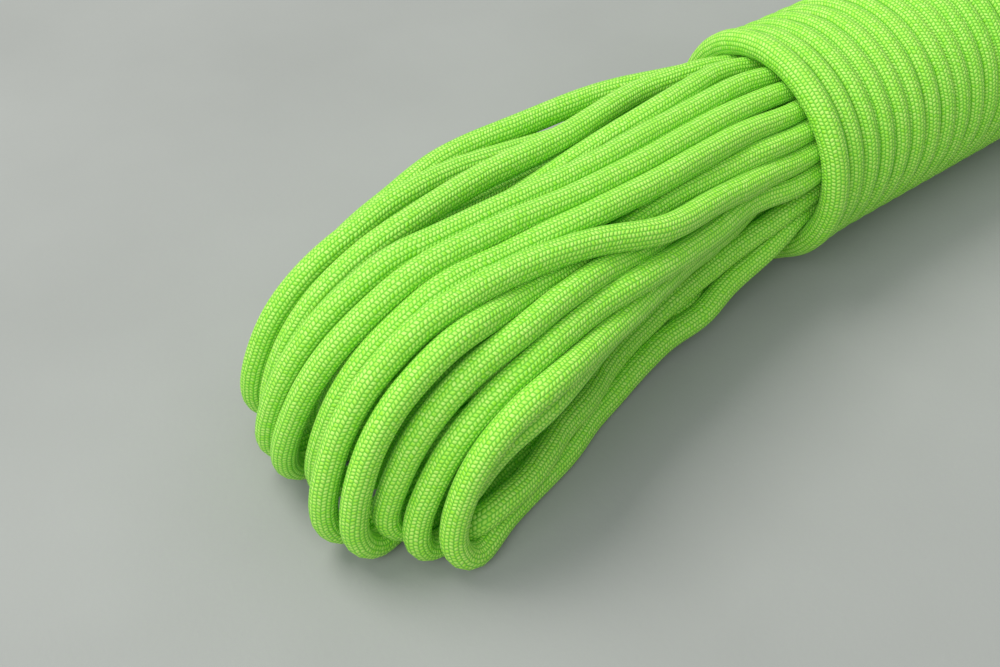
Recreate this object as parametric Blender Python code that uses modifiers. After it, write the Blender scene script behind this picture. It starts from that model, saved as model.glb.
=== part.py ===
"""Hank of 4 mm braided cord: long laps folded at both ends, with a tight coil wound round the middle.

Run with: blender --background --python part.py
Units are metres. +X runs along the hank, +Z is up, and the origin is the middle of the underside.
"""

import math

import bmesh
import bpy
import numpy as np
from mathutils import Matrix, Vector

# Cord
CORD_D = 0.0040
SHEATH_WALL = 0.0005
STRAND_D = 0.00082
GAP = 0.0003

# Coil wound round the middle
COIL_R = 0.0200
COIL_BORE_R = COIL_R - CORD_D
COIL_HALF = 0.0455
COIL_EDGE = 0.0012
FLAT_DEPTH = 0.0003
AXIS_Z = COIL_R - FLAT_DEPTH

# Runs as they leave the coil
LOOPS = 10
RING_R = COIL_BORE_R - CORD_D / 2 - GAP
MIDDLE_R = COIL_BORE_R - GAP
MIDDLE_RECESS = 0.003
MIDDLE_HALF = COIL_HALF - MIDDLE_RECESS

# Loops at the ends. TOP_FALL, BOTTOM_RISE and NOSE_FALL say how a loop shrinks with the square of its
# offset from the middle one. BELLY and SHOULDER are shares of its height: where its nose reaches furthest,
# and where it rounds over.
HANK_HALF = 0.1405
NOSE_PITCH = 0.00485
NEAR_DRIFT = -0.0062
FAR_DRIFT = 0.0040
FLOOR_Z = CORD_D / 2 + 0.0004
TOP_Z = 0.0347
TOP_FALL = 14.5
BOTTOM_RISE = 10.0
NOSE_FALL = 18.0
BELLY = 0.42
SHOULDER = 0.74
SHOULDER_BACK = 0.0028
TOP_DIP = 0.0035
HEEL_BACK = 0.0022
HEEL_Z = 0.0045
TOE_BACK = 0.0075
TOE_Z = 0.0004
SWELL = 0.55
POINT_STEP = 2.0 * CORD_D
CURVE_STEPS = 24

# Inner laps, drawn as slabs inside the loops
INNER_LAPS = 3
INNER_WIDTH = 0.0048
INNER_PITCH = 0.0053
INNER_MOUTH_H = 0.0075
INNER_NOSE_H = 0.0180
INNER_SETBACK = 0.0120
INNER_DRIFT = 0.35

# Free ends
END_LENGTH = 0.045
END_X = 0.066
END_Y = 0.0335
TIP_LENGTH = 0.0030
TIP_ROUND = 0.0008
STRAND_RING_R = 0.00098
STRANDS = 7

GREEN = (0.33, 0.80, 0.05, 1.0)
WHITE = (0.86, 0.86, 0.80, 1.0)
DARK_GREEN = (0.16, 0.45, 0.03, 1.0)


def clear_scene():
    for item in list(bpy.data.objects):
        bpy.data.objects.remove(item)


def new_collection(name):
    group = bpy.data.collections.new(name)
    bpy.context.scene.collection.children.link(group)
    return group


def material(name, colour, roughness):
    mat = bpy.data.materials.new(name)
    mat.use_nodes = True
    shader = mat.node_tree.nodes["Principled BSDF"]
    shader.inputs["Base Color"].default_value = colour
    shader.inputs["Roughness"].default_value = roughness
    shader.inputs["Metallic"].default_value = 0.0
    return mat


def add_object(name, data, group, colour, roughness=0.75):
    item = bpy.data.objects.new(name, data)
    group.objects.link(item)
    data.materials.append(material(name, colour, roughness))
    return item


def add_mesh(name, bm, group, colour, roughness=0.75):
    mesh = bpy.data.meshes.new(name)
    bm.to_mesh(mesh)
    bm.free()
    mesh.shade_smooth()
    mesh.set_sharp_from_angle(angle=math.radians(40))
    return add_object(name, mesh, group, colour, roughness)


def smooth_path(points, step):
    """Points a step apart along a Catmull-Rom curve through the given points."""
    p = np.array(points, float)
    p = np.vstack([2 * p[0] - p[1], p, 2 * p[-1] - p[-2]])
    t = np.linspace(0.0, 1.0, CURVE_STEPS, endpoint=False)[:, None]
    parts = []
    for a, b, c, d in zip(p[:-3], p[1:-2], p[2:-1], p[3:]):
        slope = (c - a) * t
        square = (2 * a - 5 * b + 4 * c - d) * t**2
        cube = (3 * b - 3 * c + d - a) * t**3
        parts.append(0.5 * (2 * b + slope + square + cube))
    fine = np.vstack(parts + [p[-2:-1]])
    along = np.concatenate([[0.0], np.cumsum(np.linalg.norm(np.diff(fine, axis=0), axis=1))])
    places = np.linspace(0.0, along[-1], max(2, round(along[-1] / step) + 1))
    return np.stack([np.interp(places, along, fine[:, i]) for i in range(3)], axis=1)


def cord_tube(name, points, group):
    """A stretch of cord as a round tube with closed ends."""
    curve = bpy.data.curves.new(name, "CURVE")
    curve.dimensions = "3D"
    curve.bevel_depth = CORD_D / 2
    curve.bevel_resolution = 2
    curve.use_fill_caps = True
    spline = curve.splines.new("POLY")
    spline.points.add(len(points) - 1)
    for place, point in zip(spline.points, points):
        place.co = (*point, 1.0)
    spline.use_smooth = True
    return add_object(name, curve, group, GREEN)


def turned(name, profile, group, steps, colour):
    """A solid turned about its own Z axis: the profile runs down its outer side first."""
    bm = bmesh.new()
    verts = [bm.verts.new((r, 0.0, z)) for r, z in profile]
    for a, b in zip(verts, verts[1:] + verts[:1]):
        bm.edges.new((a, b))
    item = add_mesh(name, bm, group, colour)
    screw = item.modifiers.new("turn", "SCREW")
    screw.axis = "Z"
    screw.angle = math.tau
    screw.steps = steps
    screw.render_steps = steps
    screw.use_merge_vertices = True
    screw.merge_threshold = 0.00001
    return item


def cylinder(radius, length, sides):
    bm = bmesh.new()
    bmesh.ops.create_cone(
        bm, cap_ends=True, cap_tris=False, segments=sides, radius1=radius, radius2=radius, depth=length
    )
    return bm


def lay_along_x(item, centre):
    item.matrix_world = Matrix.Translation(Vector(centre)) @ Matrix.Rotation(math.radians(90), 4, "Y")


def coil(group, cutters):
    """The winding as one turned ring, with the flat that it lies on."""
    r, bore, h, e = COIL_R, COIL_BORE_R, COIL_HALF, COIL_EDGE
    outer_side = [(r - e, h), (r, h - e), (r, e - h), (r - e, -h)]
    bore_side = [(bore + e, -h), (bore, e - h), (bore, h - e), (bore + e, h)]
    profile = outer_side + bore_side
    ring = turned("wrap_coil", profile, group, 40, GREEN)
    lay_along_x(ring, (0.0, 0.0, AXIS_Z))
    bm = bmesh.new()
    bmesh.ops.create_cube(bm, size=1.0)
    bmesh.ops.scale(bm, vec=(3 * COIL_HALF, 3 * COIL_R, COIL_R), verts=bm.verts)
    floor = add_mesh("floor_cutter", bm, cutters, GREEN)
    floor.location = (0.0, 0.0, -COIL_R / 2)
    floor.hide_render = True
    floor.display_type = "WIRE"
    cut = ring.modifiers.new("flat", "BOOLEAN")
    cut.operation = "DIFFERENCE"
    cut.object = floor


def middle(group):
    """The straight runs that pass under the coil."""
    item = add_mesh("hank_middle", cylinder(MIDDLE_R, 2 * MIDDLE_HALF, 32), group, GREEN)
    lay_along_x(item, (0.0, 0.0, AXIS_Z))


def loop_points(index, side, drift):
    """One lap's fold: out of the coil along the top, down at the nose, and back along the bottom."""
    angle = math.pi * (index + 0.5) / LOOPS
    offset = NOSE_PITCH * ((LOOPS - 1) / 2 - index)
    y = drift + offset
    top = TOP_Z - TOP_FALL * offset**2
    bottom = FLOOR_Z + BOTTOM_RISE * offset**2
    nose = HANK_HALF - CORD_D / 2 - NOSE_FALL * offset**2
    mouth = MIDDLE_HALF + GAP
    span = nose - mouth
    ring_y = RING_R * math.cos(angle)
    rise = RING_R * math.sin(angle)

    def run(share, spread, height, end_z, start_z):
        swell = 1.0 + SWELL * spread * (1.0 - spread)
        py = ring_y + (y - ring_y) * spread
        pz = start_z + (end_z - start_z) * height
        return (mouth + span * share, py * swell, max(FLOOR_Z, AXIS_Z + (pz - AXIS_Z) * swell))

    upper, lower = AXIS_Z + rise, AXIS_Z - rise
    belly = bottom + BELLY * (top - bottom)
    shoulder = bottom + SHOULDER * (top - bottom)
    points = [
        run(0.00, 0.00, 0.00, top, upper),
        run(0.12, 0.06, 0.10, top, upper),
        run(0.42, 0.48, 0.72, top, upper),
        run(0.68, 0.88, 1.00, top, upper),
        run(0.88, 1.00, 0.98, top - TOP_DIP, upper),
        (nose - SHOULDER_BACK, y, shoulder),
        (nose, y, belly),
        (nose - HEEL_BACK, y, bottom + HEEL_Z),
        (nose - TOE_BACK, y, bottom + TOE_Z),
        run(0.70, 0.88, 1.00, bottom, lower),
        run(0.42, 0.48, 0.72, bottom, lower),
        run(0.12, 0.06, 0.10, bottom, lower),
        run(0.00, 0.00, 0.00, bottom, lower),
    ]
    return [(side * px, py, pz) for px, py, pz in points]


def loops(group):
    for end, side, drift in (("near", -1, NEAR_DRIFT), ("far", 1, FAR_DRIFT)):
        for index in range(LOOPS):
            path = smooth_path(loop_points(index, side, drift), POINT_STEP)
            cord_tube(f"{end}_loop_{index + 1:02d}", path, group)


def inner_laps(group):
    """The laps folded inside the outer loops, each one a slab with a round nose."""
    for end, side, drift in (("near", -1, NEAR_DRIFT), ("far", 1, FAR_DRIFT)):
        for index in range(INNER_LAPS):
            offset = INNER_PITCH * (index - (INNER_LAPS - 1) / 2)
            start = MIDDLE_HALF + GAP
            radius = INNER_NOSE_H / 2
            nose_x = HANK_HALF - CORD_D - INNER_SETBACK - radius
            outline = [(start, INNER_MOUTH_H / 2)]
            for step in range(9):
                turn = math.radians(90 - 22.5 * step)
                outline.append((nose_x + radius * math.cos(turn), radius * math.sin(turn)))
            outline.append((start, -INNER_MOUTH_H / 2))
            curve = bpy.data.curves.new("outline", "CURVE")
            curve.dimensions = "2D"
            curve.fill_mode = "BOTH"
            curve.extrude = INNER_WIDTH / 2
            spline = curve.splines.new("POLY")
            spline.points.add(len(outline) - 1)
            for place, (x, z) in zip(spline.points, outline):
                place.co = (side * x, z, 0.0, 1.0)
            spline.use_cyclic_u = True
            slab = add_object(f"{end}_inner_lap_{index + 1}", curve, group, GREEN)
            slab.location = (0.0, INNER_DRIFT * drift + offset, AXIS_Z)
            slab.rotation_euler = (math.radians(90), 0.0, 0.0)


def free_end(end, x, y, facing, group):
    """One free end: the braided sheath, the seven core strands inside it, and the melted tip it faces with."""
    z = FLOOR_Z
    outer, inner, half = CORD_D / 2, CORD_D / 2 - SHEATH_WALL, END_LENGTH / 2
    profile = [(outer, half), (outer, -half), (inner, -half), (inner, half)]
    sheath = turned(f"{end}_end_sheath", profile, group, 12, GREEN)
    lay_along_x(sheath, (x, y, z))
    places = [(0.0, 0.0)]
    for index in range(STRANDS - 1):
        turn = math.tau * index / (STRANDS - 1)
        places.append((STRAND_RING_R * math.cos(turn), STRAND_RING_R * math.sin(turn)))
    for index, (dy, dz) in enumerate(places):
        strand = cylinder(STRAND_D / 2, END_LENGTH, 8)
        item = add_mesh(f"{end}_end_strand_{index + 1}", strand, group, WHITE)
        lay_along_x(item, (x, y + dy, z + dz))
    tip = cylinder(CORD_D / 2, TIP_LENGTH, 12)
    rim = [e for e in tip.edges if all(facing * v.co.z > 0 for v in e.verts)]
    bmesh.ops.bevel(tip, geom=rim, offset=TIP_ROUND, segments=2, affect="EDGES")
    item = add_mesh(f"{end}_end_tip", tip, group, DARK_GREEN, 0.35)
    lay_along_x(item, (x + facing * (half + GAP + TIP_LENGTH / 2), y, z))


def main():
    clear_scene()
    hank = new_collection("cord_hank")
    cutters = new_collection("cutters")
    coil(hank, cutters)
    middle(hank)
    loops(hank)
    inner_laps(hank)
    free_end("inner", END_X + END_LENGTH / 2, END_Y, -1, hank)
    free_end("outer", END_X + END_LENGTH / 2, -END_Y, 1, hank)
    bpy.context.view_layer.update()


main()
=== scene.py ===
"""Looks of the hank: one long braided cord, folded into laps and wound round its own middle."""

import math

import bpy
import numpy as np
from mathutils import Matrix, Vector


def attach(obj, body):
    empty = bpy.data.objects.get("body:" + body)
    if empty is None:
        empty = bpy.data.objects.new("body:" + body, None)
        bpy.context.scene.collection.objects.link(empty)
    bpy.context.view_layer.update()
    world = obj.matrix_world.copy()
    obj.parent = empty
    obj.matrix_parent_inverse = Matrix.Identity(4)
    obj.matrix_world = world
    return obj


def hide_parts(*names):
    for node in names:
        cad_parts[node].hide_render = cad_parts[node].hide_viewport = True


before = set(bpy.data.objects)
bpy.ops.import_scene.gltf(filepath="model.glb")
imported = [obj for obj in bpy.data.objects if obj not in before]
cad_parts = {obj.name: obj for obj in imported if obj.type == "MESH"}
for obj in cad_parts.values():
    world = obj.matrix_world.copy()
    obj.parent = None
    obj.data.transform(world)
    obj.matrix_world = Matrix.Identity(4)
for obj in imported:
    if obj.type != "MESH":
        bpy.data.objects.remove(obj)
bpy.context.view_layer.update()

# Cord and hank. Lengths in this script are millimetres, and MM turns them into metres.
MM = 0.001
CORD_D = 4.15
SQUEEZED_D = 3.65
WRAP_CORD_D = 4.0
STEP = 2.4

# Winding: its axis, its centreline's radius, and its advance in each turn
AXIS_Z = 19.7
WRAP_R = 18.0
WRAP_PITCH = 3.96
WRAP_X = -40.2
WRAP_HALF = 45.5
WRAP_FROM = 235.0
WRAP_TO = -7290.0
WRAP_TURN_STEP = 15.0

# How the first turn lies loose: its rise, its lean along the hank, the angle over which both fade, and the
# side of the winding, in radians, that they are furthest from
WRAP_SLACK, WRAP_LEAN = 2.1, 2.0
WRAP_FADE = 400.0
WRAP_LOOSE_SIDE = 0.6

# The winding's first turns are drawn thicker before LIP_X, by up to LIP_EXTRA within LIP_FADE
LIP_X, LIP_EXTRA, LIP_FADE = -37.5, 0.5, 4.0

# The winding's bore, which widens from BORE_FLARE_X by BORE_FLARE of each millimetre, up to BORE_FLARE_MOST,
# and opens quickly past BORE_END_X. Only points this near the winding are held inside it.
BORE_R = 14.1
BORE_FLARE_X, BORE_FLARE, BORE_FLARE_MOST = 30.0, 0.12, 1.4
BORE_END_X, BORE_OPENING, BORE_OPEN_MOST = 41.5, 0.8, 1e3
BORE_REACH, BORE_HOME = 60.0, 42.5

# The cord swells from SWELL_X over SWELL_LENGTH as it leaves the winding. Beyond WOUND_R it is wound cord.
SWELL_X, SWELL_LENGTH = 44.0, 18.0
WOUND_R, WOUND_MARGIN = 16.6, 4.0

# Rings of straight runs under the winding, from the outside in
OUTER, SECOND, THIRD, CENTRE = 14.1, 10.3, 6.5, 2.2
MOUTH = 42.0
RUN_X = 15.0

# How the outer runs spread as they leave the winding: a place along them, and the OUTER ring's growth there
FLARE = ((38.0, 0.4), (42.0, 1.3), (46.0, 2.0), (50.0, 2.4))

# A fold's nose: at shares of its height, how far it stands back from its furthest point when it is
# FULL_HEIGHT high
NOSE = (
    (0.985, 22.0), (0.955, 18.5), (0.90, 14.8), (0.85, 12.0), (0.81, 10.0), (0.75, 8.0), (0.68, 6.0),
    (0.60, 4.2), (0.50, 2.6), (0.40, 1.3), (0.29, 0.4), (0.19, 0.0), (0.12, 0.3), (0.05, 1.8), (0.00, 5.0),
)
FULL_HEIGHT = 34.0

# Points on a nose are at least NOSE_GAP apart, and points on the way over keep NOSE_CLEAR from its shoulder
NOSE_GAP, NOSE_CLEAR = 2.2, 4.0

# Shares of the way at which a hidden run has its points, out to the nose and back from its foot
OUTWARD, HOMEWARD = (0.15, 0.35, 0.6, 0.8), (0.2, 0.45, 0.7, 0.88)

# Near folds in the order that the cord makes them: name, top run, bottom run, the nose as
# (reach, side at its top, side at its foot, top, bottom), and for some how far the nose's top tilts back.
# OVER is the way over the top, and UNDER the way back, where they show. Most of OVER's points, and a few of
# UNDER's, are a program's output: points traced on the photograph, projected through the fitted camera.
NEAR = (
    ("n01", (CENTRE, 90.0), (CENTRE, 270.0), (118.0, -4.0, -4.0, 21.0, 10.0)),
    ("n02", (THIRD, 141.0), (THIRD, 193.0), (123.0, -27.0, -24.0, 21.0, 2.1)),
    ("n03", (THIRD, 90.0), (THIRD, 244.0), (126.0, -5.0, -7.0, 25.5, 8.5)),
    ("n04", (THIRD, 38.0), (THIRD, 296.0), (125.0, 5.0, 6.0, 24.0, 9.0)),
    ("n05", (SECOND, 13.0), (SECOND, 321.0), (125.0, 12.5, 13.0, 24.0, 6.0)),
    ("n06", (SECOND, 38.0), (THIRD, 347.0), (130.0, 7.0, 9.0, 29.0, 6.0)),
    ("s1", (SECOND, 64.0), (SECOND, 270.0), (136.2, 9.5, 12.5, 32.0, 2.1)),
    ("n08", (SECOND, 90.0), (SECOND, 244.0), (131.0, -6.0, -3.0, 30.0, 5.0)),
    ("n09", (SECOND, 116.0), (SECOND, 218.0), (131.0, -16.0, -13.0, 28.0, 4.0)),
    ("s8", (SECOND, 141.0), (SECOND, 193.0), (133.5, -21.5, -20.5, 31.5, 3.0), 2.5),
    ("s10", (SECOND, 167.0), (OUTER, 198.0), (127.4, -28.3, -29.0, 27.5, 2.1)),
    ("s9", (OUTER, 163.5), (OUTER, 182.0), (131.6, -24.2, -24.6, 28.5, 2.1), 4.5),
    ("s6", (OUTER, 150.0), (OUTER, 230.0), (139.9, -14.6, -15.5, 35.5, 2.1)),
    ("s7", (OUTER, 138.0), (OUTER, 214.5), (137.8, -18.6, -20.2, 34.0, 2.1)),
    ("s5", (OUTER, 124.5), (OUTER, 244.5), (136.5, -11.0, -7.5, 35.5, 2.1)),
    ("s4", (OUTER, 109.5), (OUTER, 259.5), (139.0, -7.5, -1.5, 36.0, 2.1)),
    ("s3", (OUTER, 94.5), (OUTER, 274.5), (138.8, -2.5, 3.5, 36.0, 2.1)),
    ("n18", (OUTER, 76.5), (SECOND, 296.0), (131.0, 0.5, 3.0, 30.0, 3.0)),
    ("s2", (OUTER, 60.5), (OUTER, 304.5), (135.5, 3.5, 8.0, 34.5, 2.1)),
    ("s0", (OUTER, 44.5), (OUTER, 319.5), (127.5, 13.5, 16.0, 31.0, 2.1)),
    ("n21", (OUTER, 29.0), (OUTER, 334.5), (123.0, 17.0, 17.5, 26.0, 2.1)),
    ("n22", (OUTER, 14.0), (OUTER, 349.5), (121.0, 19.5, 20.0, 20.0, 2.1)),
    ("n23", (OUTER, -1.0), (SECOND, 347.0), (115.0, 17.0, 17.0, 15.0, 5.0)),
)
OVER = {
    "s0": ((-65, 15.5, 31.5), (-81, 16.5, 31.5), (-97, 16.5, 31.5), (-113, 14.5, 29.5)),
    "s1": ((-75, 11, 30), (-100, 12, 32.5), (-112, 10.5, 32.5), (-123, 9.5, 31), (-130, 9, 28)),
    "s2": ((-62, 9.5, 34), (-71, 8, 34.5), (-81, 6.5, 34.5), (-97, 6, 34.5), (-112, 4.5, 34), (-123, 4, 32)),
    "n18": ((-63, 2, 36), (-75, 2, 34.5), (-91, 2, 31.5), (-108, 1, 30)),
    "s3": (
        (-64, -2, 36), (-73, -3, 36.5), (-86, -4, 36.5), (-101, -4, 36.5), (-111, -3.5, 36), (-124, -3, 34),
    ),
    "s4": (
        (-62, -6.5, 35.5), (-73, -7.5, 36), (-89, -8, 36.5), (-104, -8, 36.5), (-114, -8, 36), (-127, -8, 33),
    ),
    "s5": (
        (-62, -10, 34), (-77, -11.5, 35.5), (-92, -12, 36), (-103, -11.5, 35.5), (-113, -11, 35),
        (-122, -10.5, 33),
    ),
    "s6": (
        (-56, -13.9, 28.8), (-62, -14.5, 29.6), (-67, -15.5, 30.5), (-73, -17, 31.5), (-83, -18.5, 33.5),
        (-92, -16.5, 35), (-102, -14.5, 35.5), (-115, -14.5, 35), (-126, -15.5, 33),
    ),
    "s7": (
        (-62, -12, 31.5), (-76, -12.5, 31), (-84, -14, 30.5), (-94, -15.5, 31.5), (-106, -16.5, 32.5),
        (-117, -17, 32), (-125, -19.5, 30),
    ),
    "s8": (
        (-52, -7.5, 23.5), (-60, -10.5, 25.5), (-70, -14, 28), (-85, -17, 29.5), (-98, -19.5, 31.5),
        (-106, -20.5, 31.5), (-121, -22, 29.5),
    ),
    "s9": (
        (-56, -14.9, 25.9), (-62, -15.2, 26.2), (-67, -16.5, 26.4), (-73, -17.5, 27), (-83, -19.5, 28.5),
        (-96, -21, 29.5), (-105, -23, 29), (-113, -24.5, 29), (-121, -25, 27),
    ),
    "s10": (
        (-52, -10, 18.5), (-62, -13, 19.5), (-75, -17, 22.5), (-88, -21.5, 25), (-98, -24.5, 26),
        (-107, -26, 26.5), (-115, -27.5, 25.5), (-123, -29.5, 22),
    ),
    "n02": (
        (-52, -6.5, 15), (-62, -10, 15.5), (-75, -15, 18.5), (-88, -19.5, 21), (-97, -22.7, 22),
        (-107, -25.9, 22), (-116, -28, 21),
    ),
}
UNDER = {
    "s8": (
        (-115, -17, 3.5), (-101, -14, 4.5), (-90, -11.5, 6.5), (-80, -9.5, 8.5), (-66, -7.5, 12),
        (-57, -7.5, 14.5), (-50, -8.5, 16.5),
    ),
    "s7": (
        (-115, -16.5, 2.1), (-101, -15.5, 2.1), (-90, -13.5, 2.1), (-80, -11, 2.3), (-66, -10, 4.4),
        (-50, -11, 8.5),
    ),
    "s10": (
        (-120, -27.5, 2.1), (-111, -25.3, 2.1), (-101, -21.9, 2.1), (-90, -18.2, 2.6), (-80, -16.1, 4.1),
        (-66, -14.4, 6.3), (-57, -14.2, 9), (-50, -14.5, 12),
    ),
    "s9": (
        (-121.5, -27, 6.2), (-115, -26.7, 6.2), (-111, -25.7, 6.3), (-105.5, -23, 6.2), (-101, -20.5, 6),
        (-95, -17.9, 5.4), (-89, -15.7, 5.6), (-83, -13.6, 6.5), (-77, -12.3, 7.5), (-66, -11.5, 10.5),
        (-56, -12.7, 14), (-49, -14, 17),
    ),
    "n02": ((-117, -21.8, 2.5), (-111, -20.8, 2.5), (-105, -19.6, 2.5), (-90, -12, 4.5)),
}

# Far folds, whose noses spread with the angle of the run that each one turns into
FAR_REACH, FAR_SIDE, FAR_SPREAD, FAR_TOP = 136.0, 4.0, 23.5, 35.5
FAR_BACK_AT_SIDE, FAR_DROP_AT_SIDE = 9.0, 9.5
FAR_DROP = {OUTER: (0.0, 0.0), SECOND: (6.0, 4.0), THIRD: (15.0, 9.0), CENTRE: (24.0, 13.0)}
FAR_RISE, FLOOR_GAP = 0.45, 2.1

# The run that the last far fold turns into, on its way to the winding, and that fold's nose
SPARE_RUN = (OUTER, 289.5)
LAST_NOSE = (117.0, 22.5, 22.5, 15.5, 4.5)

# The two free ends, as they lie beside the far folds
INNER_END = (
    (65.5, 33.5, 2.4), (74, 33.5, 2.4), (90, 33.5, 2.4), (111, 33.5, 2.4), (118.5, 32.5, 3.2), (124, 29, 5.5),
    (125, 23, 8), (120, 17, 10), (108, 12, 12), (85, 5, 16), (62, 1, 20),
)
OUTER_END = (
    (40.8, -1.2, 2), (42.6, -5, 2), (45, -9.5, 2), (48.2, -15.8, 2), (53, -23.5, 2), (59.5, -30.5, 2.1),
    (67, -33.2, 2.3), (74, -33.5, 2.4), (90, -33.5, 2.4), (111.5, -33.5, 2.4),
)

# Where the melted tips sit on those ends
INNER_TIP, OUTER_TIP = (65.7, 33.5, 2.4), (111.3, -33.5, 2.4)

# The way from the last run, under the winding's edge, to the start of its first turn
WINDING_START = (
    (-40.0, 5.0, AXIS_Z - 13.9), (-44.5, 3.2, AXIS_Z - 15.3), (-46.8, -0.8, AXIS_Z - 16.5),
    (-46.5, -5.0, AXIS_Z - 16.8), (-45.0, -8.3, AXIS_Z - 16.0),
)

# How strongly points are held to their route while the cord settles
HELD, SHAPED, SHOWN, LOOSE = 1.0, 0.5, 0.25, 0.02
FREE_BELOW, ROUTED_ABOVE = 0.9, 0.1
# The inner end is held from its tip to where it bends in, at this side
HELD_SIDE = 33.0

# Settling: rounds, how often close pairs are looked for and how far, the cord's share of its full thickness
# at the start and how fast it grows, and the strength of each step
ROUNDS, PAIRS_EVERY, PAIR_MARGIN = 320, 8, 1.0
FIRST_SHARE, SHARE_GROWTH = 0.55, 0.75
PUSH_GAIN, BEND_GAIN, LENGTH_GAIN, PULL_FADE = 1.5, 0.45, 0.7, 0.6


def slot(ring, angle, x):
    """A point of a straight run under the winding."""
    turn = math.radians(angle)
    return (x, ring * math.cos(turn), AXIS_Z + ring * math.sin(turn))


def smooth(share):
    """A share of 0 to 1 that starts and ends gently."""
    share = min(1.0, max(0.0, share))
    return share * share * (3.0 - 2.0 * share)


def fold(side, top_run, bottom_run, nose, over=(), under=(), tilt=0.0):
    """Points of one fold, from its top run round its nose to its bottom run, each with its hold."""
    reach, top_side, foot_side, top, bottom = nose
    height = top - bottom
    scale = height / FULL_HEIGHT
    _, top_y, top_z = slot(*top_run, MOUTH)
    _, low_y, low_z = slot(*bottom_run, MOUTH)
    shoulder = reach - NOSE[0][1] * scale - tilt
    points = [] if over else [(MOUTH, top_y, top_z, LOOSE)]
    if over and top_run[0] == OUTER:
        points += [(*slot(OUTER + flare, top_run[1], x), SHOWN) for x, flare in FLARE]
    if over:
        points += [(abs(px), py, pz, SHOWN) for px, py, pz in over if abs(px) < shoulder - NOSE_CLEAR]
    else:
        for share in OUTWARD:
            px = MOUTH + (shoulder - MOUTH) * share
            rise = top_z + (top - top_z) * smooth(2 * share)
            points.append((px, top_y + (top_side - top_y) * smooth(share), rise, LOOSE))
    for share, back in NOSE:
        px = reach - back * scale - tilt * share
        py = foot_side + (top_side - foot_side) * share
        pz = bottom + height * share
        if math.dist((px, pz), (points[-1][0], points[-1][2])) > NOSE_GAP or share == 0.0:
            points.append((px, py, pz, SHAPED if over else LOOSE))
    if under:
        points += [(abs(px), py, pz, SHOWN) for px, py, pz in under]
    else:
        heel = points[-1][0]
        for share in HOMEWARD:
            px = heel + (MOUTH - heel) * share
            low = bottom + (low_z - bottom) * share**2
            points.append((px, foot_side + (low_y - foot_side) * smooth(share), low, LOOSE))
    points.append((MOUTH, low_y, low_z, LOOSE))
    return [(side * px, py, pz, hold) for px, py, pz, hold in points]


def far_nose(run, random):
    """Where the far fold that turns into this run has its nose."""
    ring, angle = run
    across = math.cos(math.radians(angle)) * ring / OUTER
    back, drop = FAR_DROP[ring]
    side = FAR_SIDE + FAR_SPREAD * across
    return (
        FAR_REACH - back - FAR_BACK_AT_SIDE * across**2 + random.uniform(-2.5, 2.0),
        side + random.uniform(-1.0, 1.0),
        side + random.uniform(-1.0, 1.0),
        FAR_TOP - drop - FAR_DROP_AT_SIDE * across**2 + random.uniform(-1.0, 1.0),
        FLOOR_GAP + FAR_RISE * drop,
    )


def wrap_point(angle):
    """A point of the winding's centreline. The angle runs from +Y over the top, and falls along the cord."""
    turn = math.radians(angle)
    loose = math.exp((angle - WRAP_FROM) / WRAP_FADE) * (0.5 + 0.5 * math.sin(turn - WRAP_LOOSE_SIDE)) ** 2
    advance = WRAP_X - WRAP_PITCH * angle / 360.0 - WRAP_LEAN * loose
    radius = WRAP_R + WRAP_SLACK * loose
    thick = WRAP_CORD_D + LIP_EXTRA * min(1.0, max(0.0, (LIP_X - advance) / LIP_FADE))
    return (advance, radius * math.cos(turn), max(thick / 2, AXIS_Z + radius * math.sin(turn)))


def cord_route():
    """The whole cord from its inner end to its outer end, as points with their hold."""
    random = np.random.default_rng(11)
    route = [(*point, HELD if point[1] > HELD_SIDE else SHOWN) for point in INNER_END]
    for index, (name, top, bottom, nose, *tilt) in enumerate(NEAR):
        route += [(*slot(*top, x), LOOSE) for x in (MOUTH, RUN_X, -RUN_X)]
        route += fold(-1, top, bottom, nose, OVER.get(name, ()), UNDER.get(name, ()), *tilt)
        route += [(*slot(*bottom, x), LOOSE) for x in (-RUN_X, RUN_X)]
        if index + 1 < len(NEAR):
            next_run = NEAR[index + 1][1]
            route += fold(1, next_run, bottom, far_nose(next_run, random))[::-1]
        else:
            route += fold(1, bottom, SPARE_RUN, LAST_NOSE)
    route += [(*slot(*SPARE_RUN, x), LOOSE) for x in (RUN_X, -RUN_X, -34.0)]
    route += [(*point, SHAPED) for point in WINDING_START]
    route += [(*wrap_point(angle), HELD) for angle in np.arange(WRAP_FROM, WRAP_TO, -WRAP_TURN_STEP)]
    route += [(*point, HELD) for point in OUTER_END]
    return np.array(route, float)


def spline(points, step):
    """Points a step apart on a Catmull-Rom curve through the given ones. Columns after the third go along."""
    p = np.vstack([2 * points[0] - points[1], points, 2 * points[-1] - points[-2]])
    t = np.linspace(0.0, 1.0, 16, endpoint=False)[None, :, None]
    a, b, c, d = (p[i : len(p) - 3 + i, None, :] for i in range(4))
    # centripetal knots keep close points from looping
    gap = [
        np.linalg.norm((after - before)[..., :3], axis=2, keepdims=True) ** 0.5 + 1e-6
        for before, after in ((a, b), (b, c), (c, d))
    ]
    left = (b - a) / gap[0] - (c - a) / (gap[0] + gap[1]) + (c - b) / gap[1]
    right = (c - b) / gap[1] - (d - b) / (gap[1] + gap[2]) + (d - c) / gap[2]
    left, right = left * gap[1], right * gap[1]
    curve = (
        (2 * t**3 - 3 * t**2 + 1) * b + (t**3 - 2 * t**2 + t) * left
        + (3 * t**2 - 2 * t**3) * c + (t**3 - t**2) * right
    )
    fine = np.vstack([curve.reshape(-1, p.shape[1]), points[-1:]])
    return respaced(fine, step)


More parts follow.
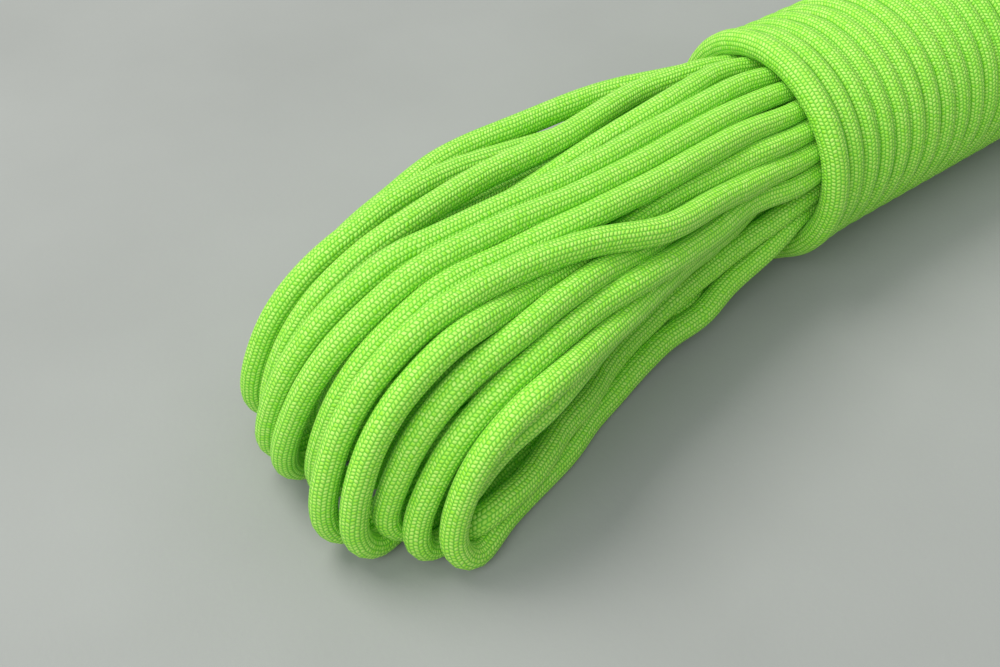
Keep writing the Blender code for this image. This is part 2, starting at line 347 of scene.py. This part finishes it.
def respaced(fine, step):
    """The same line with points as near to a step apart as an even spacing allows."""
    along = np.concatenate([[0.0], np.cumsum(np.linalg.norm(np.diff(fine[:, :3], axis=0), axis=1))])
    places = np.linspace(0.0, along[-1], round(along[-1] / step) + 1)
    return np.stack([np.interp(places, along, fine[:, i]) for i in range(fine.shape[1])], axis=1)


def cord_width(points):
    """The cord's diameter at each point: it is squeezed in the winding, and swells outside it."""
    share = np.clip((np.abs(points[:, 0]) - SWELL_X) / SWELL_LENGTH, 0.0, 1.0)
    width = SQUEEZED_D + (CORD_D - SQUEEZED_D) * share * share * (3.0 - 2.0 * share)
    radius = np.hypot(points[:, 1], points[:, 2] - AXIS_Z)
    wound = (np.abs(points[:, 0]) < WRAP_HALF + WOUND_MARGIN) & (radius > WOUND_R)
    thick = WRAP_CORD_D + LIP_EXTRA * np.clip((LIP_X - points[:, 0]) / LIP_FADE, 0.0, 1.0)
    return np.where(wound, thick, width)


def near_pairs(middle, reach):
    """Pairs of segments whose middles are within reach, found on a grid."""
    cell = np.floor((middle - middle.min(0)) / reach).astype(np.int64) + 1
    span = cell.max(0) + 3
    key = (cell[:, 0] * span[1] + cell[:, 1]) * span[2] + cell[:, 2]
    order = np.argsort(key, kind="stable")
    sorted_key = key[order]
    first, second = [], []
    for dx in (-1, 0, 1):
        for dy in (-1, 0, 1):
            for dz in (-1, 0, 1):
                other = key + (dx * span[1] + dy) * span[2] + dz
                low = np.searchsorted(sorted_key, other, "left")
                count = np.searchsorted(sorted_key, other, "right") - low
                who = np.repeat(np.arange(len(key)), count)
                start = np.repeat(low - np.concatenate([[0], np.cumsum(count)[:-1]]), count)
                mate = order[start + np.arange(len(who))]
                keep = mate > who + 3
                first.append(who[keep])
                second.append(mate[keep])
    first, second = np.concatenate(first), np.concatenate(second)
    close = np.linalg.norm(middle[first] - middle[second], axis=1) < reach
    return first[close], second[close]


def closest(a, b, c, d):
    """Shares along segments ab and cd of their closest points."""
    u, v, w = b - a, d - c, a - c
    uu, uv, vv = (u * u).sum(1), (u * v).sum(1), (v * v).sum(1)
    uw, vw = (u * w).sum(1), (v * w).sum(1)
    det = np.maximum(uu * vv - uv * uv, 1e-9)
    s = np.clip((uv * vw - vv * uw) / det, 0.0, 1.0)
    t = np.clip((uv * s + vw) / vv, 0.0, 1.0)
    s = np.clip((uv * t - uw) / uu, 0.0, 1.0)
    return s, t


def settle(route):
    """Moves the route's points so that the cord lies beside itself, on the floor and inside the winding.

    Some near folds still press into each other at the end, by up to 1.6 mm.
    """
    p, hold = route[:, :3].copy(), route[:, 3]
    home = p.copy()
    free = hold < FREE_BELOW
    rest = np.linalg.norm(np.diff(p, axis=0), axis=1)
    weight = np.where(free, 1.0, 0.0)
    for round_number in range(ROUNDS):
        done = round_number / ROUNDS
        grown = min(1.0, FIRST_SHARE + SHARE_GROWTH * done)
        width = cord_width(p)
        if round_number % PAIRS_EVERY == 0:
            middle = (p[1:] + p[:-1]) / 2
            first, second = near_pairs(middle, STEP + CORD_D + PAIR_MARGIN)
        # the cord is pushed clear of itself
        s, t = closest(p[first], p[first + 1], p[second], p[second + 1])
        here = p[first] + s[:, None] * (p[first + 1] - p[first])
        there = p[second] + t[:, None] * (p[second + 1] - p[second])
        apart = here - there
        far = np.maximum(np.linalg.norm(apart, axis=1), 1e-6)
        need = grown * 0.5 * (width[first] + width[second])
        hit = far < need
        push = apart[hit] / far[hit, None] * (need - far)[hit, None] * 0.5
        move, count = np.zeros_like(p), np.zeros(len(p))
        for index, share, sign in (
            (first[hit], 1 - s[hit], 1.0),
            (first[hit] + 1, s[hit], 1.0),
            (second[hit], 1 - t[hit], -1.0),
            (second[hit] + 1, t[hit], -1.0),
        ):
            for axis in range(3):
                move[:, axis] += np.bincount(index, sign * share * push[:, axis], len(p))
            count += np.bincount(index, share, len(p))
        p += weight[:, None] * move * (PUSH_GAIN / np.maximum(count, 1.0))[:, None]
        # it resists sharp changes of bend
        lean = np.zeros_like(p)
        lean[1:-1] = (p[2:] + p[:-2]) / 2 - p[1:-1]
        bend = lean.copy()
        bend[1:-1] -= (lean[2:] + lean[:-2]) / 2
        bend[[0, -1]] = 0.0
        p += weight[:, None] * bend * BEND_GAIN
        # it keeps its length
        for parity in (0, 1):
            i = np.arange(parity, len(p) - 1, 2)
            step = p[i + 1] - p[i]
            long = np.linalg.norm(step, axis=1)
            share = weight[i] + weight[i + 1]
            stretch = LENGTH_GAIN * (long - rest[i]) / long / np.maximum(share, 1e-9)
            fix = np.where(share > 0, stretch, 0.0)[:, None] * step
            p[i] += weight[i][:, None] * fix
            p[i + 1] -= weight[i + 1][:, None] * fix
        # it is drawn to its route, less and less
        pull = np.where(hold > ROUTED_ABOVE, hold * (1.0 - PULL_FADE * done), hold * (1.0 - done))
        p += (weight * pull)[:, None] * (home - p)
        # it lies on the floor, and inside the winding
        p[:, 2] = np.where(free, np.maximum(p[:, 2], width / 2), p[:, 2])
        radius = np.hypot(p[:, 1], p[:, 2] - AXIS_Z)
        past = np.abs(p[:, 0])
        flare = np.clip((past - BORE_FLARE_X) * BORE_FLARE, 0.0, BORE_FLARE_MOST)
        limit = BORE_R + flare + np.clip((past - BORE_END_X) * BORE_OPENING, 0.0, BORE_OPEN_MOST)
        inside = free & (past < BORE_REACH) & (radius > limit) & (np.abs(home[:, 0]) < BORE_HOME)
        ratio = np.where(inside, limit / np.maximum(radius, 1e-6), 1.0)
        p[:, 1] *= ratio
        p[:, 2] = AXIS_Z + (p[:, 2] - AXIS_Z) * ratio
    return p


# The cord's mesh: sides round it, the length between its rings, and the finer spacing they are taken from
SIDES = 16
RING_STEP, FINE_STEP = 1.5, 0.3

# The braid: columns of stitches round the cord, and a stitch's length
COLUMNS = 18
STITCH = 0.6

# The bake map's strip for one row of cord: its girth, with a gap to the next row
GIRTH = math.pi * CORD_D
STRIP = GIRTH + 0.8

# The cord is split into this many pieces. The last one holds WOUND_LENGTH, and the others share the rest. The
# cuts lie within BORE_CORE_R of the winding's axis.
STRETCHES = 8
WOUND_LENGTH = 3500.0
BORE_CORE_R = 16.0

# The sheath's slow twist along the cord: a random step each TWIST_STEP
TWIST_STEP, TWIST, TWIST_SPARE = 130.0, 0.5, 400.0

# CAD nodes that the cord's pieces stand for
LOOPS, INNER_LAPS = 10, 3

# A melted tip: its outline as (place along the cord, radius), its sides, and the share of its radius that its
# first ring keeps, inside the sheath
TIP_PROFILE = (
    (0.9, 1.95), (0.7, 2.12), (0.2, 2.16), (-0.5, 2.1), (-1.1, 2.02),
    (-1.7, 1.88), (-2.2, 1.62), (-2.6, 1.25), (-2.85, 0.8), (-2.95, 0.35),
)
TIP_SIDES = 28
TIP_SINK = 0.9

# The camera, fitted to the photograph: place, the point it faces, its right-hand direction, and its lens
CAMERA_AT, CAMERA_FACES = (-180.7, -111.27, 144.7), (-105.4, -10.3, 19.7)
CAMERA_RIGHT = (0.8003, -0.5996, -0.0023)
LENS, SENSOR = 43.2, 36.0

# The lights face the near folds. Distances and sizes are metres, and power is watts.
LIT = (-95.0, -5.0, 15.0)
KEY_FROM, KEY_DISTANCE, KEY_SIZE, KEY_POWER = (-0.2, 0.5, 0.95), 1.6, 0.9, 20.0
FILL_FROM, FILL_DISTANCE, FILL_SIZE, FILL_POWER = (-0.9, -0.35, 0.75), 1.4, 1.0, 11.0
WARM, COOL, SKY = (1.0, 0.99, 0.96), (0.97, 0.99, 1.0), (0.93, 0.97, 1.0, 1.0)
SKY_STRENGTH = 0.57
FLOOR_REACH = 6.0


def add_camera():
    """The photograph's view: 45 degrees down on the near folds, from their front and side."""
    data = bpy.data.cameras.new("camera")
    data.lens = LENS
    data.sensor_width = SENSOR
    camera = bpy.data.objects.new("camera", data)
    place, target = Vector(CAMERA_AT) * MM, Vector(CAMERA_FACES) * MM
    back = (place - target).normalized()
    right = Vector(CAMERA_RIGHT)
    right = (right - back * right.dot(back)).normalized()
    up = back.cross(right)
    camera.matrix_world = Matrix.Translation(place) @ Matrix((right, up, back)).transposed().to_4x4()
    bpy.context.scene.collection.objects.link(camera)
    bpy.context.scene.camera = camera


def ring_axes(points):
    """Two directions across the cord at each point, carried along it without turning about it."""
    along = np.gradient(points, axis=0)
    along /= np.linalg.norm(along, axis=1)[:, None]
    across = np.empty_like(points)
    held = np.cross(along[0], (0.0, 0.0, 1.0))
    for index, way in enumerate(along):
        held = held - way * (held @ way)
        held /= math.sqrt(held @ held)
        across[index] = held
    return across, np.cross(along, across)


def tube(name, points, widths, start_mm, turn):
    """A closed tube through the points (mm), with a weave map (turns round, mm along) and a bake map."""
    across, over = ring_axes(points)
    side = np.arange(SIDES) * 2.0 * math.pi / SIDES
    angle = side[None, :] + turn[:, None]
    spread = np.cos(angle)[..., None] * across[:, None] + np.sin(angle)[..., None] * over[:, None]
    ring = points[:, None] + spread * widths[:, None, None] / 2.0
    count = len(points)
    caps = points[[0, -1]]
    verts = np.vstack([ring.reshape(-1, 3), caps]) * MM
    low = (np.arange(count - 1) * SIDES)[:, None] + np.arange(SIDES)[None, :]
    high = (np.arange(count - 1) * SIDES)[:, None] + (np.arange(SIDES) + 1)[None, :] % SIDES
    quads = np.stack([low, high, high + SIDES, low + SIDES], axis=2).reshape(-1, 4)
    here = np.arange(SIDES)
    after = (here + 1) % SIDES
    last = (count - 1) * SIDES
    front = np.stack([np.full(SIDES, count * SIDES), after, here], axis=1)
    back = np.stack([np.full(SIDES, count * SIDES + 1), last + here, last + after], axis=1)
    faces = quads.tolist() + front.tolist() + back.tolist()
    mesh = bpy.data.meshes.new(name)
    mesh.from_pydata(verts.tolist(), [], faces)
    mesh.shade_smooth()

    # the unrolled tube is cut into rows that fill a square
    step = np.linalg.norm(np.diff(points, axis=0), axis=1).mean()
    per_row = math.ceil(math.sqrt((count - 1) * step * STRIP) / step) + 1
    while math.ceil((count - 1) / per_row) * STRIP > per_row * step:
        per_row += 1
    square = per_row * step
    segment = np.repeat(np.arange(count - 1), SIDES)
    column = np.tile(np.arange(SIDES), count - 1)
    row, place = segment // per_row, segment % per_row
    u0, u1 = place * step / square, (place + 1) * step / square
    v0 = (row * STRIP + column * GIRTH / SIDES) / square
    v1 = v0 + GIRTH / SIDES / square
    bake = np.stack([u0, v0, u0, v1, u1, v1, u1, v0], axis=1).reshape(-1, 2)
    w0, w1 = column / SIDES, (column + 1) / SIDES
    a0, a1 = start_mm + segment * step, start_mm + (segment + 1) * step
    weave = np.stack([w0, a0, w1, a0, w1, a1, w0, a1], axis=1).reshape(-1, 2)
    cap_bake, cap_weave = [], []
    for at, u, order in ((start_mm, 0.0, (1, 0)), (start_mm + (count - 1) * step, u1[-1], (0, 1))):
        base = v0[0] if u == 0.0 else row[-1] * STRIP / square
        for i in range(SIDES):
            pair = [i + order[0], i + order[1]]
            cap_bake.append((u, base + 0.5 * GIRTH / square))
            cap_bake += [(u, base + k * GIRTH / SIDES / square) for k in pair]
            cap_weave.append((0.5, at))
            cap_weave += [(k / SIDES, at) for k in pair]
    layers = {"OFBake": np.vstack([bake, cap_bake]), "weave": np.vstack([weave, cap_weave])}
    for layer, values in layers.items():
        mesh.uv_layers.new(name=layer).data.foreach_set("uv", values.astype(np.float32).ravel())
    mesh.validate()
    piece = bpy.data.objects.new(name, mesh)
    bpy.context.scene.collection.objects.link(piece)
    return piece


def cut_places(points):
    """Where the cord is split, inside the winding so that no cut shows, and the length up to each point."""
    radius = np.hypot(points[:, 1], points[:, 2] - AXIS_Z)
    crossing = np.flatnonzero((points[:-1, 0] * points[1:, 0] <= 0) & (radius[:-1] < BORE_CORE_R))
    along = np.concatenate([[0.0], np.cumsum(np.linalg.norm(np.diff(points, axis=0), axis=1))])
    share = (along[-1] - WOUND_LENGTH) / (STRETCHES - 1)
    cuts = [int(crossing[np.abs(along[crossing] - share * k).argmin()]) for k in range(1, STRETCHES)]
    return cuts, along


def tip(name, mouth, way):
    """The cord's melted end: a closed bead, a little lumpy, that grips the sheath."""
    verts, faces = [], []
    for step, (along, radius) in enumerate(TIP_PROFILE):
        for k in range(TIP_SIDES):
            turn = 2.0 * math.pi * k / TIP_SIDES
            lump = 1.0 + 0.03 * math.sin(3 * turn + 1.3 * step) + 0.02 * math.sin(7 * turn - 2.1 * step)
            if step == 0:
                lump = TIP_SINK
            verts.append((
                mouth[0] - way * along + 0.06 * math.sin(2 * turn + step),
                mouth[1] + radius * lump * math.cos(turn),
                mouth[2] + radius * lump * math.sin(turn),
            ))
    last = len(TIP_PROFILE) - 1
    for step in range(last):
        for k in range(TIP_SIDES):
            a, b = step * TIP_SIDES + k, step * TIP_SIDES + (k + 1) % TIP_SIDES
            quad = (a, b, b + TIP_SIDES, a + TIP_SIDES)
            faces.append(quad if way > 0 else quad[::-1])
    mouth_cap = (TIP_PROFILE[0][0] - 0.1, 0, way > 0)
    nose_cap = (TIP_PROFILE[last][0] - 0.02, last * TIP_SIDES, way < 0)
    for centre, start, flip in (mouth_cap, nose_cap):
        verts.append((mouth[0] - way * centre, mouth[1], mouth[2]))
        for k in range(TIP_SIDES):
            fan = (len(verts) - 1, start + k, start + (k + 1) % TIP_SIDES)
            faces.append(fan[::-1] if flip else fan)
    mesh = bpy.data.meshes.new(name)
    mesh.from_pydata([tuple(c * MM for c in v) for v in verts], [], faces)
    mesh.shade_smooth()
    piece = bpy.data.objects.new(name, mesh)
    bpy.context.scene.collection.objects.link(piece)
    smoother = piece.modifiers.new("smooth", "SUBSURF")
    smoother.levels = smoother.render_levels = 1
    return piece


class Nodes:
    """Short calls for building a material's node tree."""

    def __init__(self, name):
        self.material = bpy.data.materials.new(name)
        self.material.use_nodes = True
        self.tree = self.material.node_tree
        self.shader = self.tree.nodes["Principled BSDF"]

    def add(self, kind, **settings):
        node = self.tree.nodes.new("ShaderNode" + kind)
        for key, value in settings.items():
            setattr(node, key, value)
        return node

    def plug(self, socket, value):
        if isinstance(value, bpy.types.NodeSocket):
            self.tree.links.new(value, socket)
        else:
            socket.default_value = value

    def math(self, operation, first, second=0.0, third=0.0):
        node = self.add("Math", operation=operation)
        for socket, value in zip(node.inputs, (first, second, third)):
            self.plug(socket, value)
        return node.outputs[0]

    def noise(self, vector, scale, detail=2.0, roughness=0.5):
        node = self.add("TexNoise")
        self.plug(node.inputs["Vector"], vector)
        self.plug(node.inputs["Scale"], scale)
        self.plug(node.inputs["Detail"], detail)
        self.plug(node.inputs["Roughness"], roughness)
        return node.outputs["Fac"]

    def span(self, value, low, high, to_low=0.0, to_high=1.0, kind="LINEAR"):
        node = self.add("MapRange", interpolation_type=kind)
        for socket, number in zip(node.inputs, (value, low, high, to_low, to_high)):
            self.plug(socket, number)
        return node.outputs[0]

    def mix(self, factor, first, second, blend="MIX"):
        node = self.add("Mix", data_type="RGBA", blend_type=blend)
        self.plug(node.inputs["Factor"], factor)
        self.plug(node.inputs["A"], first)
        self.plug(node.inputs["B"], second)
        return node.outputs["Result"]

    def bump(self, height, distance, strength, normal=None):
        node = self.add("Bump")
        self.plug(node.inputs["Height"], height)
        self.plug(node.inputs["Distance"], distance)
        self.plug(node.inputs["Strength"], strength)
        if normal is not None:
            self.plug(node.inputs["Normal"], normal)
        return node.outputs["Normal"]

    def set(self, **values):
        for key, value in values.items():
            self.plug(self.shader.inputs[key.replace("_", " ")], value)


def linear(red, green, blue):
    """A colour as shaders want it, from its screen values of 0 to 255."""
    channel = [((c / 255 + 0.055) / 1.055) ** 2.4 if c > 10 else c / 255 / 12.92 for c in (red, green, blue)]
    return (*channel, 1.0)


def braid_material():
    """The sheath: columns of slanted nylon stitches, each leaning against its neighbour."""
    n = Nodes("braided_sheath")
    weave = n.add("UVMap", uv_map="weave").outputs[0]
    parts = n.add("SeparateXYZ")
    n.plug(parts.inputs[0], weave)
    position = n.add("NewGeometry").outputs["Position"]
    wander = n.math("SUBTRACT", n.noise(position, 260.0), 0.5)
    column = n.math("MULTIPLY_ADD", parts.outputs[0], COLUMNS, n.math("MULTIPLY", wander, 0.5))
    index = n.math("FLOOR", column)
    side = n.math("SUBTRACT", n.math("FRACT", column), 0.5)
    odd = n.math("MODULO", n.math("ADD", index, 360.0), 2.0)
    lean = n.math("MULTIPLY", side, n.math("MULTIPLY_ADD", odd, -0.6, 0.3))
    shift = n.math("MULTIPLY_ADD", odd, 0.5, n.math("MULTIPLY", wander, 1.6))
    along = n.math("ADD", n.math("DIVIDE", parts.outputs[1], STITCH), n.math("ADD", lean, shift))
    row = n.math("FLOOR", along)
    end = n.math("SUBTRACT", n.math("FRACT", along), 0.5)

    # one stitch: high in its middle, low at its ends and where it dives under its neighbours
    across = n.math("POWER", n.math("ABSOLUTE", n.math("MULTIPLY", side, 2.0)), 2.0)
    length = n.math("POWER", n.math("ABSOLUTE", n.math("MULTIPLY", end, 2.0)), 2.0)
    dome = n.math("MULTIPLY", n.math("SUBTRACT", 1.0, across), n.math("SUBTRACT", 1.0, length))
    dome = n.math("MAXIMUM", dome, 0.0)
    fibre = n.math("SINE", n.math("MULTIPLY", n.math("SUBTRACT", side, n.math("MULTIPLY", end, 0.4)), 40.0))
    stitch = n.add("TexWhiteNoise", noise_dimensions="2D")
    where = n.add("CombineXYZ")
    n.plug(where.inputs[0], index)
    n.plug(where.inputs[1], row)
    n.plug(stitch.inputs["Vector"], where.outputs[0])
    own = stitch.outputs["Value"]

    broad = n.noise(position, 38.0, 3.0)
    lit = n.mix(n.span(broad, 0.3, 0.7), linear(154, 232, 34), linear(170, 237, 50))
    lit = n.mix(n.math("MULTIPLY", own, 0.7), lit, linear(206, 244, 118))
    # painted shade: where the dome is low, at each stitch's ends and edges, the colour falls to a deep green
    # that stands for the shade in the hollows between stitches
    colour = n.mix(n.span(dome, 0.0, 0.8, kind="SMOOTHSTEP"), linear(98, 192, 8), lit)
    colour = n.mix(n.span(fibre, -1.0, 1.0, 0.0, 0.10), colour, linear(100, 205, 16))
    height = n.math("MULTIPLY_ADD", fibre, 0.05, dome)
    normal = n.bump(height, 0.0003, 0.6)
    rough = n.span(dome, 0.0, 1.0, 0.7, 0.48)
    rough = n.math("ADD", rough, n.math("MULTIPLY", n.math("SUBTRACT", own, 0.5), 0.12))
    n.set(Base_Color=colour, Roughness=rough, Normal=normal, Specular_IOR_Level=0.8)
    n.set(Sheen_Weight=0.12, Sheen_Roughness=0.4, Sheen_Tint=linear(225, 250, 170))
    # a very faint painted glow, in the fluorescent cord's green, which lifts the shade in the hollows between
    # the folds so that they stay green
    n.set(Emission_Color=linear(20, 255, 0), Emission_Strength=0.012)
    return n.material


def core_material():
    """The core strands: white nylon yarn, twisted."""
    n = Nodes("core_yarn")
    position = n.add("TexCoord").outputs["Object"]
    wave = n.add("TexWave", wave_type="BANDS", bands_direction="DIAGONAL")
    n.plug(wave.inputs["Vector"], position)
    n.plug(wave.inputs["Scale"], 900.0)
    n.plug(wave.inputs["Distortion"], 2.5)
    yarn = wave.outputs["Fac"]
    fuzz = n.noise(position, 3000.0, 4.0)
    colour = n.mix(yarn, linear(198, 198, 188), linear(240, 240, 233))
    colour = n.mix(n.math("MULTIPLY", fuzz, 0.25), colour, linear(206, 212, 190))
    normal = n.bump(n.math("MULTIPLY_ADD", fuzz, 0.4, yarn), 0.00015, 0.6)
    n.set(Base_Color=colour, Roughness=n.span(yarn, 0.0, 1.0, 0.75, 0.55), Normal=normal)
    n.set(Sheen_Weight=0.2, Sheen_Roughness=0.5)
    return n.material


def tip_material():
    """The melted ends: the sheath's nylon run together into a darker, glassy bead."""
    n = Nodes("melted_nylon")
    position = n.add("NewGeometry").outputs["Position"]
    swirl = n.noise(position, 700.0, 3.0, 0.6)
    fine = n.noise(position, 2600.0, 2.0)
    colour = n.mix(n.span(swirl, 0.3, 0.7), linear(70, 128, 18), linear(126, 190, 44))
    colour = n.mix(n.span(fine, 0.6, 0.8, 0.0, 0.5), colour, linear(44, 60, 14))
    normal = n.bump(n.math("MULTIPLY_ADD", fine, 0.3, swirl), 0.0002, 0.5)
    n.set(Base_Color=colour, Roughness=n.span(swirl, 0.2, 0.8, 0.22, 0.42), Normal=normal)
    return n.material


def floor_material():
    """The floor: plain and pale, with a little cloud and grain."""
    n = Nodes("pale_floor")
    position = n.add("NewGeometry").outputs["Position"]
    cloud = n.noise(position, 14.0, 4.0)
    grain = n.noise(position, 900.0, 3.0)
    colour = n.mix(n.span(cloud, 0.3, 0.7), linear(147, 149, 145), linear(155, 157, 153))
    n.set(Base_Color=colour, Roughness=0.85, Normal=n.bump(grain, 0.0002, 0.15), Specular_IOR_Level=0.2)
    return n.material


def add_floor():
    """A plain square floor under the hank."""
    mesh = bpy.data.meshes.new("floor")
    corners = [(x * FLOOR_REACH, y * FLOOR_REACH, 0) for x, y in ((-1, -1), (1, -1), (1, 1), (-1, 1))]
    mesh.from_pydata(corners, [], [(0, 1, 2, 3)])
    floor = bpy.data.objects.new("floor", mesh)
    bpy.context.scene.collection.objects.link(floor)
    mesh.materials.append(floor_material())


def add_light(name, way, distance, size, power, colour):
    """A soft square light that faces the near folds, from that direction."""
    data = bpy.data.lights.new(name, "AREA")
    data.energy = power
    data.size = size
    data.color = colour
    light = bpy.data.objects.new(name, data)
    target = Vector(LIT) * MM
    way = Vector(way).normalized()
    light.location = target + way * distance
    light.rotation_euler = way.to_track_quat("Z", "Y").to_euler()
    bpy.context.scene.collection.objects.link(light)


def add_world():
    """Soft light from all round, and plain colours on screen."""
    world = bpy.data.worlds.new("studio")
    world.use_nodes = True
    background = world.node_tree.nodes["Background"]
    background.inputs["Color"].default_value = SKY
    background.inputs["Strength"].default_value = SKY_STRENGTH
    bpy.context.scene.world = world
    bpy.context.scene.view_settings.view_transform = "Standard"


def add_cord(sheath):
    """The whole cord, as pieces that meet inside the winding."""
    route = spline(cord_route(), STEP)
    points = settle(route)
    cuts, along = cut_places(points)
    edges = [0, *cuts, len(points) - 1]
    random = np.random.default_rng(5)
    knots = np.arange(0.0, along[-1] + TWIST_SPARE, TWIST_STEP)
    drift = np.cumsum(random.normal(0.0, TWIST, len(knots)))
    # the first piece is the inner laps', the last is the winding's, and the others share the loops
    replaced = [[] for _ in range(STRETCHES)]
    for index in range(LOOPS):
        replaced[1 + index % (STRETCHES - 2)] += [f"near_loop_{index + 1:02d}", f"far_loop_{index + 1:02d}"]
    for index in range(INNER_LAPS):
        replaced[0] += [f"near_inner_lap_{index + 1}", f"far_inner_lap_{index + 1}"]
    replaced[0] += ["inner_end_sheath"]
    replaced[3] += ["hank_middle"]
    replaced[-1] += ["wrap_coil", "outer_end_sheath"]
    tips = (tip("inner_tip", INNER_TIP, -1), tip("outer_tip", OUTER_TIP, 1))
    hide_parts("inner_end_tip")
    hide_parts("outer_end_tip")
    total = 0.0
    for index in range(STRETCHES):
        first, last = edges[index], edges[index + 1]
        # two more points at each end let neighbouring pieces curve alike
        wider = slice(max(0, first - 2), last + 3)
        fine = spline(np.hstack([points[wider], along[wider, None]]), FINE_STEP)
        inside = (fine[:, 3] >= along[first]) & (fine[:, 3] <= along[last])
        rings = respaced(fine[inside], RING_STEP)
        path, place = rings[:, :3], rings[:, 3]
        turn = np.interp(place, knots, drift)
        piece = tube(f"cord_{index + 1}", path, cord_width(path), along[first], turn)
        piece.data.materials.append(sheath)
        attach(piece, "root")
        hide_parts(*replaced[index])
        length = float(np.linalg.norm(np.diff(path, axis=0), axis=1).sum()) * MM
        total += length
    print(f"cord: {total:.2f} m in {STRETCHES} pieces")
    return tips


add_camera()
tips = add_cord(braid_material())
melted = tip_material()
for piece in tips:
    piece.data.materials.append(melted)
    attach(piece, "root")
yarn = core_material()
for name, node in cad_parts.items():
    if "_strand_" in name:
        node.data.materials.clear()
        node.data.materials.append(yarn)
add_floor()
add_light("key", KEY_FROM, KEY_DISTANCE, KEY_SIZE, KEY_POWER, WARM)
add_light("fill", FILL_FROM, FILL_DISTANCE, FILL_SIZE, FILL_POWER, COOL)
add_world()
